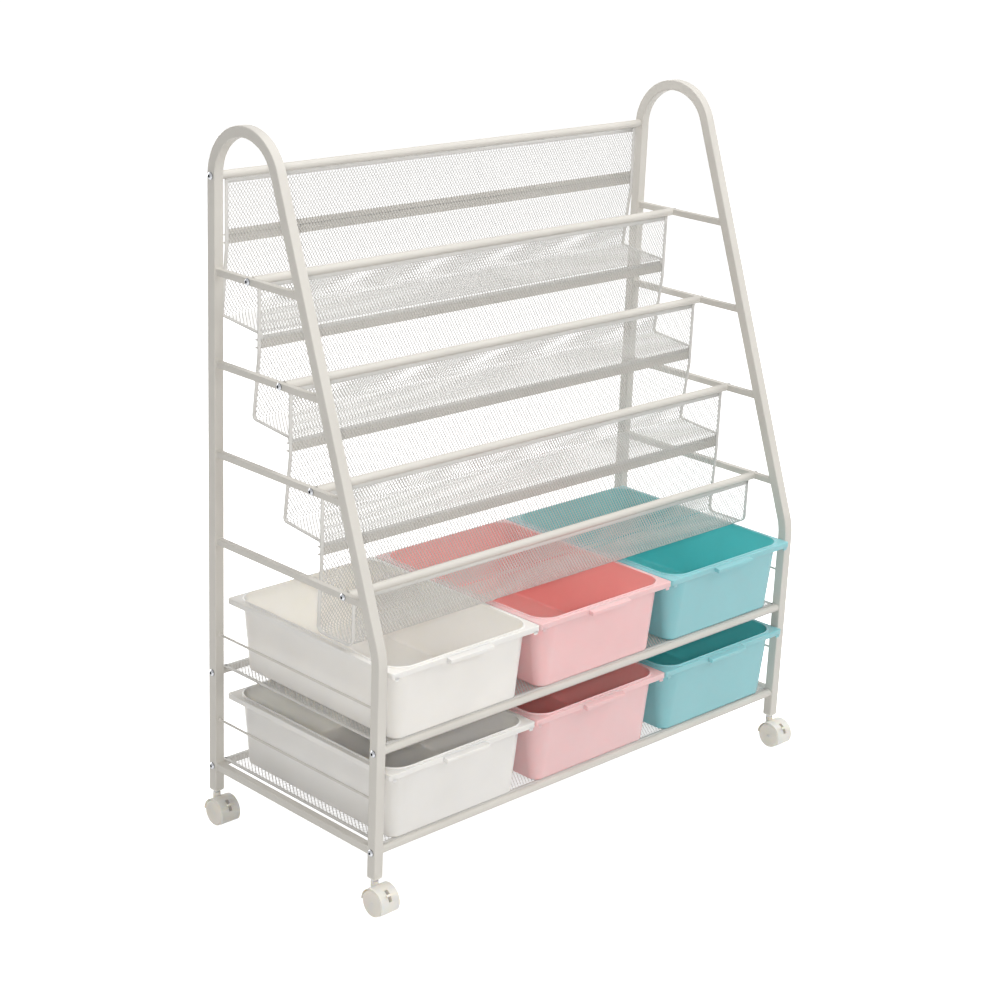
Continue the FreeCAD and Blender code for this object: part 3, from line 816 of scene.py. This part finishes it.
for side in ("left", "right"):
    beads = []
    upper, lower = (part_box(f"crossbar_{side}_{n}")[0] for n in (1, pockets))
    run_slope = (upper.y - lower.y) / (upper.z - lower.z)
    for n in range(1, pockets + 1):
        low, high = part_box(f"crossbar_{side}_{n}")
        x, z = (low.x + high.x) / 2, (low.z + high.z) / 2
        half = (high.z - low.z) / 2
        beads.append(weld_ring(x, high.y, z, half, slope=0))
        beads.append(weld_ring(x, low.y + half * run_slope, z, half, run_slope))
    low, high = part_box(f"bottom_bar_{side}")
    x, z = (low.x + high.x) / 2, (low.z + high.z) / 2
    beads += [weld_ring(x, y, z, (high.z - low.z) / 2, slope=0) for y in (low.y, high.y)]
    low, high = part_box(f"guard_wires_{side}")
    x, wire = (low.x + high.x) / 2, (high.x - low.x) / 2
    for z in (low.z + wire, high.z - wire):
        beads.append(weld_drop(x, low.y, z, outward=1))
        beads.append(weld_drop(x, high.y, z, outward=-1))
    new_piece(f"welds_{side}", *join(beads), "frame_paint", "frame")


# Studio

floor_half = 60.0
floor_grey = (0.80, 0.80, 0.80)
floor_own_light = 0.885
world_tint = (1.0, 0.99, 0.97)
world_level = 0.21

# Round lamps: place, what they point at, diameter and watts
lamps = {
    "key": ((1.6, -3.0, 3.4), (0, 0, 0.4), 1.8, 45),
    "top": ((0.2, -0.4, 4.2), (0, 0, 0.5), 3.0, 84),
    "fill": ((-2.9, -2.84, 1.95), (0, 0, 0.45), 0.35, 54),
    "low": ((0.4, -3.8, 0.9), (0, 0, 0.25), 1.6, 6),
    "right": ((4.5, -0.6, 1.6), (0, 0, 0.4), 2.0, 45),
    "back": ((-0.5, 4.0, 1.4), (0, 0, 0.4), 2.6, 84),
}


def seen_rays(tree):
    # 1 for what the camera sees directly, in a reflection or through something
    path = tree.nodes.new("ShaderNodeLightPath")
    found = path.outputs["Is Camera Ray"]
    for kind in ("Is Glossy Ray", "Is Transmission Ray"):
        either = tree.nodes.new("ShaderNodeMath")
        either.operation = "MAXIMUM"
        tree.links.new(found, either.inputs[0])
        tree.links.new(path.outputs[kind], either.inputs[1])
        found = either.outputs[0]
    return found


def floor_material():
    # Matt floor that catches the shadow and shows white to the camera
    made = bpy.data.materials.new("floor")
    made.use_nodes = True
    tree = made.node_tree
    tree.nodes.clear()
    output = tree.nodes.new("ShaderNodeOutputMaterial")
    matt = tree.nodes.new("ShaderNodeBsdfDiffuse")
    matt.inputs["Color"].default_value = (*floor_grey, 1)
    glow = tree.nodes.new("ShaderNodeEmission")
    level = tree.nodes.new("ShaderNodeMath")
    level.operation = "MULTIPLY"
    level.inputs[1].default_value = floor_own_light
    tree.links.new(seen_rays(tree), level.inputs[0])
    tree.links.new(level.outputs[0], glow.inputs["Strength"])
    total = tree.nodes.new("ShaderNodeAddShader")
    tree.links.new(matt.outputs[0], total.inputs[0])
    tree.links.new(glow.outputs[0], total.inputs[1])
    tree.links.new(total.outputs[0], output.inputs["Surface"])
    return made


def studio():
    scene = bpy.context.scene
    scene.view_settings.view_transform = "Standard"
    mesh = bpy.data.meshes.new("floor")
    corners = [(floor_half * x, floor_half * y, 0) for x, y in ((-1, -1), (1, -1), (1, 1), (-1, 1))]
    mesh.from_pydata(corners, [], [(0, 1, 2, 3)])
    floor = bpy.data.objects.new("floor", mesh)
    scene.collection.objects.link(floor)
    mesh.materials.append(floor_material())

    world = bpy.data.worlds.new("studio")
    scene.world = world
    world.use_nodes = True
    tree = world.node_tree
    tree.nodes.clear()
    output = tree.nodes.new("ShaderNodeOutputWorld")
    light = tree.nodes.new("ShaderNodeBackground")
    light.inputs["Color"].default_value = (*world_tint, 1)
    light.inputs["Strength"].default_value = world_level
    white = tree.nodes.new("ShaderNodeBackground")
    white.inputs["Color"].default_value = (1, 1, 1, 1)
    white.inputs["Strength"].default_value = 1.0
    choice = tree.nodes.new("ShaderNodeMixShader")
    tree.links.new(seen_rays(tree), choice.inputs["Fac"])
    tree.links.new(light.outputs[0], choice.inputs[1])
    tree.links.new(white.outputs[0], choice.inputs[2])
    tree.links.new(choice.outputs[0], output.inputs["Surface"])

    for name, (place, target, size, power) in lamps.items():
        data = bpy.data.lights.new(name, "AREA")
        data.shape = "DISK"
        data.size = size
        data.energy = power
        lamp = bpy.data.objects.new(name, data)
        lamp.location = place
        aim = Vector(target) - Vector(place)
        lamp.rotation_euler = aim.to_track_quat("-Z", "Y").to_euler()
        scene.collection.objects.link(lamp)


def photo_camera():
    data = bpy.data.cameras.new("photo")
    data.sensor_fit = "HORIZONTAL"
    data.sensor_width = sensor_width
    data.lens = sensor_width * lens_in_image_widths
    level = math.cos(camera_elevation)
    forward = Vector((
        -math.sin(camera_azimuth) * level,
        math.cos(camera_azimuth) * level,
        -math.sin(camera_elevation),
    ))
    right = Vector((math.cos(camera_azimuth), math.sin(camera_azimuth), 0))
    down = forward.cross(right)
    c, s = math.cos(camera_roll), math.sin(camera_roll)
    rolled_right = c * right - s * down
    rolled_down = s * right + c * down
    turn = Matrix((rolled_right, -rolled_down, -forward)).transposed()
    camera = bpy.data.objects.new("photo", data)
    camera.matrix_world = Matrix.Translation(camera_place) @ turn.to_4x4()
    bpy.context.scene.collection.objects.link(camera)
    bpy.context.scene.camera = camera


studio()
photo_camera()
